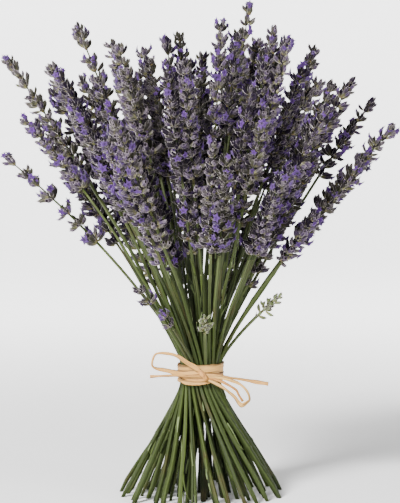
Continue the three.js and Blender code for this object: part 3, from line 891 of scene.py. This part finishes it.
# The least and the most of a shoot's length, and of its lean, bend and sway, as shares of its length.
SHOOT_LEAST = (6, 0.02, -0.12, -0.26)
SHOOT_MOST = (22, 0.13, 0.08, 0.26)
SHOOT_WIDE = [0.65, 0.8, 1.3]  # half the width of two kinds of twig and of a leaf
SHOOT_THICK = 0.45
SHOOT_TAPER = 0.7
SHOOT_LOWEST = 1 - TIE_UP  # none comes nearer to the surface than 1 mm
SHOOT_TINT_AND_DEPTH_SHADE = (0.6, 0.25)  # as for a stem, with painted shade deeper in, but the first one is drawn up or down
SHOOT_PALE = [0, 2]  # third traits of the green ones and of the pale ones
# Shoots below the tie and above it: lowest, highest, and how many there are on average.
FOOT_SHOOTS = (-92, -14, 2)
HEAD_SHOOTS = (20, 130, 2.5)
SPIKE_CLEAR = 25  # below a spike's foot


def add_shoots(skin, sprig, low, high, count, rng):
    """Twigs and narrow leaves that were left on a stem between two heights, most of them on its outer side.
    Each one's line runs up or down the stem and bends and sways by the square of its run, and its section is
    a flat ellipse that tapers."""
    starts = rng.uniform(low, high, count)
    foot = sprig.centre(starts)
    along = sprig.axes(starts)[2] * rng.choice([-1, 1], (count, 1))
    outside = foot * [1, 1, 0]
    outside = unit(outside - (outside * along).sum(-1, keepdims=True) * along)
    turns = rng.normal(0, SHOOT_ROUND, count)[:, None]
    out = np.cos(turns) * outside + np.sin(turns) * np.cross(along, outside)
    flank = np.cross(along, out)
    long, leans, bends, sways = rng.uniform(SHOOT_LEAST, SHOOT_MOST, (count, 4)).T
    wide = rng.choice(SHOOT_WIDE, count)
    share = np.linspace(0, 1, SHOOT_ROWS)
    run = long[:, None] * share
    away = SHOOT_OUT + leans[:, None] * run + bends[:, None] * run * share
    aside = sways[:, None] * run * share
    lines = (foot[:, None] + along[:, None] * run[..., None] + out[:, None] * away[..., None]
             + flank[:, None] * aside[..., None])
    lines[..., 2] = np.maximum(lines[..., 2], SHOOT_LOWEST)
    taper = 1 - SHOOT_TAPER * share ** 2
    angles = around(SHOOT_SIDES)
    reach = (wide[:, None] * taper)[..., None] * np.cos(angles)
    thick = (SHOOT_THICK * taper)[:, None] * np.sin(angles)
    across, outward = flank[:, None, None] * reach[..., None], out[:, None, None] * thick[None, ..., None]
    # A random tint, darker with each ring in as painted shade.
    tints = rng.uniform(-SHOOT_TINT_AND_DEPTH_SHADE[0], SHOOT_TINT_AND_DEPTH_SHADE[0], count) + SHOOT_TINT_AND_DEPTH_SHADE[1] * sprig.depth
    traits = traits_of(np.clip(tints, 0, 1), share, rng.choice(SHOOT_PALE, count))
    skin.add(lines[:, :, None] - across + outward, traits, 0)


# ---- Raffia ----

# The bow's strands: x, y, height and width at stops along them. Stops that stand close together make a fold.
BOW = [
    # The left loop
    [(0, -20.4, 2.6, 3.2), (-5, -21.4, 6.4, 4.4), (-11.5, -22, 10.6, 4.8), (-19.5, -22.4, 16, 3.0),
     (-27.5, -22.6, 17.9, 2.2), (-35.6, -22.6, 17.6, 2.0), (-37.8, -22.4, 14.8, 2.4),
     (-39, -22.2, 8.2, 2.6), (-37.2, -22, 6.2, 2.6), (-27, -21.6, 3.9, 3.2), (-18.1, -20.4, 1.6, 4.6),
     (-9, -20.2, 1, 6.2), (0, -20.2, 1.4, 5)],
    # The left tail
    [(3, -20.8, -1.2, 2.4), (-9, -21, -0.9, 2.2), (-18.4, -20.8, -0.3, 2.2), (-30, -20.2, -0.6, 2.0),
     (-40.8, -19.8, -1.2, 2.4)],
    # The right tail
    [(4, -20.4, 0.4, 2.6), (10, -21, 0, 2.6), (17.9, -21, -1.2, 2.4), (31.2, -20.4, -3.1, 2.3),
     (44.5, -19.8, -5.5, 3.0), (54.6, -19.4, -7.2, 3.4)],
    # The right loop
    [(5, -20.6, -1.4, 2.6), (12, -21.4, -1.6, 2.8), (17.9, -22, -2.2, 2.6), (24.5, -22.4, -4.1, 2.4),
     (31.9, -22.8, -7.1, 2.6), (37.9, -23, -13.5, 2.6), (39.3, -23.2, -19.6, 2.8),
     (37.6, -23.2, -21.4, 3.0), (33.2, -23.2, -24, 3.4), (30.8, -23, -22.2, 3.4),
     (27.6, -22.8, -17.6, 3.0), (22, -22.2, -12.8, 2.8), (17.4, -21.6, -9.4, 2.6), (11.2, -21, -6.1, 2.6),
     (5.9, -20.4, -3.8, 2.6)],
    # A strand inside that loop
    [(6, -21, -2.4, 2.2), (11.2, -21.6, -3, 2.2), (17.9, -22, -5.4, 2.2), (23.9, -22.6, -8.6, 2.0),
     (28.9, -22.9, -12.1, 2.0), (30.6, -23, -15.5, 2.0), (34, -23.1, -20.8, 2.4)],
    # The lower of two sweeps across the front
    [(-18, -9, -1.6, 2.8), (-16.4, -14.8, -4.2, 3.0), (-12.8, -18.6, -6.1, 3.0), (-7.5, -20, -6.8, 2.8),
     (-2, -20.4, -6.8, 2.4), (3.2, -20.2, -6.6, 2.0), (7.4, -19.2, -6.2, 1.4)],
    # And the upper one
    [(-17.6, -10, -1.8, 2.6), (-14.4, -15.6, -3, 3.2), (-9, -19.4, -3.8, 3.4), (-2, -20.6, -3.8, 3.2),
     (4, -20.6, -3.6, 2.6)],
    # The knot's front
    [(-2.5, -19.6, 3.8, 3.6), (0.2, -22.4, 2.4, 4.2), (2.8, -23.2, -0.2, 4.4), (4.6, -22.6, -2.8, 4.0),
     (5.2, -19.6, -4.6, 3.4)],
]
SPAN_POINTS = 7  # from one stop to the next
BOW_THICK = 0.8
BOW_FACING = [0.4, 1, 0]  # where a strand's flat side faces, as shares of its place in x, y and z
# Turns of the winding: radius, middle height in front, its slant to the side, width, and where it starts.
TURNS = [
    (17.7, 4.2, 0.5, 6.8, 1.3),
    (17.9, -3.2, -0.8, 4.6, 2.4),
    (18.3, -0.6, -0.6, 4.2, 1.6),
    (18.5, 4.4, 0.7, 6.2, 0.9),
    (18.5, -5.2, 0.6, 2.6, 2.0),
]
TURN_POINTS = 72
TURN_LAPPED = 1.02  # a turn's length, in whole turns
TURN_WAVE = 0.3  # how far it wanders up and down three times round
TURN_THICK = 0.7
STRAND_SIDES = 16
# How much a strand's width swings, and the length over which it swings by a radian.
WIDTH_SWINGS = ((0.1, 5), (0.07, 2.1))
ROLL = (0.35, 9)  # how far it rolls about its line in radians, and over what length by a radian
CREASE = 0.3  # of its thickness


def smooth_line(stops, count):
    """Points along a smooth curve through the stops, with the width as a fourth coordinate: each span is a
    blend of straight lines, whose knots lie as far apart as the square roots of the stops' distances."""
    stops = np.array(stops, float)
    ends = [2 * stops[0] - stops[1], *stops, 2 * stops[-1] - stops[-2]]
    points = []
    for four in zip(ends, ends[1:], ends[2:], ends[3:]):
        pairs = list(zip(four, four[1:]))
        knots = np.cumsum([0] + [np.linalg.norm(after - before) ** 0.5 for before, after in pairs])
        at = np.linspace(knots[1], knots[2], count, endpoint=False)[:, None]

        def blend(one, other, low, high):
            return one + (other - one) * (at - knots[low]) / (knots[high] - knots[low])
        first, middle, last = (blend(*pair, low, low + 1) for low, pair in enumerate(pairs))
        points.append(blend(blend(first, middle, 0, 2), blend(middle, last, 1, 3), 1, 2))
    return np.concatenate(points + [stops[-1:]])


def add_strand(skin, line, facing, wide, thick, rng):
    """A flat strand along a line, its broad side to the facing directions: a flat ellipse with a crease. Its
    width swings by two sines, and it rolls by another. wide is one number, or one for each point."""
    way = unit(np.gradient(line, axis=0))
    out = unit(facing - (facing * way).sum(-1, keepdims=True) * way)
    across = np.cross(way, out)
    run = np.concatenate([[0], np.cumsum(np.linalg.norm(np.diff(line, axis=0), axis=1))])
    *phases, rolled = rng.uniform(0, 2 * math.pi, 3)
    swings = [share * np.sin(run / length + phase) for (share, length), phase in zip(WIDTH_SWINGS, phases)]
    half = wide / 2 * (1 + swings[0] + swings[1])
    roll = ROLL[0] * np.sin(run / ROLL[1] + rolled)[:, None]
    across, out = across * np.cos(roll) + out * np.sin(roll), out * np.cos(roll) - across * np.sin(roll)
    angles = around(STRAND_SIDES)
    reach = half[:, None] * np.cos(angles)
    crease = CREASE * np.cos(3 * math.pi * np.cos(angles)) * np.abs(np.sin(angles)) ** 0.5
    lift = thick / 2 * np.sin(angles) + crease * thick
    rings = line[:, None] + reach[..., None] * across[:, None] + lift[..., None] * out[:, None]
    traits = np.stack(np.broadcast_arrays(rng.uniform(0, 1), np.linspace(0, 1, len(line))[:, None], 0.5), -1)
    skin.add(rings[None, :, ::-1], traits[None], 0)


def add_turn(skin, radius, height, slant, wide, start, rng):
    """One turn of the winding: a circle whose height swings once by its slant, and thrice by a small wave."""
    angles = start + np.linspace(0, 2 * math.pi * TURN_LAPPED, TURN_POINTS)
    facing = np.stack([np.cos(angles), np.sin(angles), np.zeros_like(angles)], -1)
    heights = height + slant * np.cos(angles) + TURN_WAVE * np.sin(3 * angles)
    line = radius * facing + heights[:, None] * [0, 0, 1]
    add_strand(skin, line, facing, wide, TURN_THICK, rng)


def dress_tie(finish, rng):
    """The raffia: the turns of its winding, and the bow's strands over them."""
    skin = Skin()
    for turn in TURNS:
        add_turn(skin, *turn, rng)
    for stops in BOW:
        line = smooth_line(stops, SPAN_POINTS)
        facing = unit(line[:, :3] * BOW_FACING)
        add_strand(skin, line[:, :3], facing, line[:, 3], BOW_THICK, rng)
    return skin.piece("raffia_strands", [finish])


# ---- The part ----

SPIKE_SEED = 7
STEM_SEED = 11
TIE_SEED = 13

groups = lay_bunch()
calyx, petal, bract = calyx_finish(), petal_finish(), bract_finish()
stem, raffia = stem_finish(), raffia_finish()

for number, group in enumerate(groups, 1):
    skin = Skin()
    for place, sprig in enumerate(group):
        add_spike(skin, sprig, np.random.default_rng([SPIKE_SEED, number, place]))
    spikes = skin.piece(f"flower_spikes_{number:02d}", [calyx, petal, bract, stem])
    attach(spikes, "root")
    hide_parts(f"spikes_{number:02d}")

skin = Skin()
rng = np.random.default_rng(STEM_SEED)
for group in groups:
    for sprig in group:
        add_stem(skin, sprig, rng)
        low, high, many = FOOT_SHOOTS
        add_shoots(skin, sprig, low, high, rng.poisson(many), rng)
        if sprig.depth:
            low, high, many = HEAD_SHOOTS
            high = max(low, min(high, sprig.base - SPIKE_CLEAR))
            add_shoots(skin, sprig, low, high, rng.poisson(many), rng)
stems = skin.piece("cut_stems", [stem])
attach(stems, "root")
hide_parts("stems")

tie = dress_tie(raffia, np.random.default_rng(TIE_SEED))
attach(tie, "root")
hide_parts("raffia_tie")

# ---- Floor, light and camera ----

LOOK_AT = (0.0, 0.0, 0.1982)  # middle of the view
VIEW_HIGH = 0.4095  # height of the view at the bunch
STAND_OFF = 1.7
RAISED = math.radians(4)
SENSOR = 24.0
# The lamps: where they stand, how large they are and their watts.
LAMPS = {
    "key": ((-1.2, -1.7, 1.5), 0.6, 195),
    "fill": ((1.7, -1.3, 0.9), 1.0, 18),
    "back": ((0.4, 1.8, 1.5), 1.2, 28),
}
STUDIO_LIGHT = 0.08  # of the world around
FLOOR_R = 2.6  # out to where the floor begins to curve up
RIM_R = 0.9
MIDDLE_R = 0.5  # of the face in the middle of the floor
PAPER = (0.9, 0.9, 0.9, 1)
GLOW = 2.2  # of the lit rim
GLOW_FROM = (0.15, 1.6)  # where the light behind the paper begins, and where it is full
FLOOR_ROWS = 12
FLOOR_SIDES = 64


def paper_finish():
    """Pale matt paper, that is lit from behind far out, by its distance from the middle."""
    paper = Finish("pale_paper", Base_Color=PAPER, Roughness=0.9, Emission_Strength=GLOW)
    x, y, _ = paper.split(paper.place)
    glow = paper.step((x * x + y * y) ** 0.5, *GLOW_FROM)
    paper.tree.links.new(paper.vector(glow, glow, glow).socket, paper.shader.inputs["Emission Color"])
    return paper.material


def add_floor():
    """A flat round floor whose rim curves up far out by a quarter of a circle, so that no edge shows."""
    angles = around(FLOOR_SIDES)
    rise = np.linspace(0, math.pi / 2, FLOOR_ROWS)
    radii = np.concatenate([[MIDDLE_R], FLOOR_R + RIM_R * np.sin(rise)])[:, None]
    heights = np.concatenate([[0], RIM_R * (1 - np.cos(rise))])
    points = upright(radii * np.cos(angles), radii * np.sin(angles), heights)
    quads = quads_between(len(radii), FLOOR_SIDES)[2][:, [0, 3, 2, 1]]
    mesh = bpy.data.meshes.new("floor")
    mesh.from_pydata(points.reshape(-1, 3).tolist(), [], quads.tolist() + [list(range(FLOOR_SIDES))])
    mesh.polygons.foreach_set("use_smooth", [True] * len(mesh.polygons))
    mesh.materials.append(paper_finish())
    put_in("floor", mesh)


def aim(place, target):
    """The turn that points a camera or lamp at a target."""
    way = np.array(target) - np.array(place)
    return (math.pi / 2 + math.atan2(way[2], math.hypot(way[0], way[1])), 0, math.atan2(-way[0], way[1]))


def add_lamp(name, place, size, power):
    data = bpy.data.lights.new(name, "AREA")
    data.size = size
    data.energy = power
    lamp = put_in(name, data)
    lamp.location = place
    lamp.rotation_euler = aim(place, LOOK_AT)


def add_camera():
    """A camera in front of the bunch, a little above its middle."""
    data = bpy.data.cameras.new("camera")
    data.sensor_fit = "VERTICAL"
    data.sensor_height = SENSOR
    data.lens = SENSOR * STAND_OFF / VIEW_HIGH
    camera = put_in("camera", data)
    x, y, z = LOOK_AT
    camera.location = (x, y - STAND_OFF * math.cos(RAISED), z + STAND_OFF * math.sin(RAISED))
    camera.rotation_euler = aim(camera.location, LOOK_AT)
    bpy.context.scene.camera = camera


add_floor()
add_camera()
for name, (place, size, power) in LAMPS.items():
    add_lamp(name, place, size, power)
world = bpy.data.worlds.new("studio")
world.use_nodes = True
background = world.node_tree.nodes["Background"]
background.inputs["Color"].default_value = (1, 1, 1, 1)
background.inputs["Strength"].default_value = STUDIO_LIGHT
bpy.context.scene.world = world
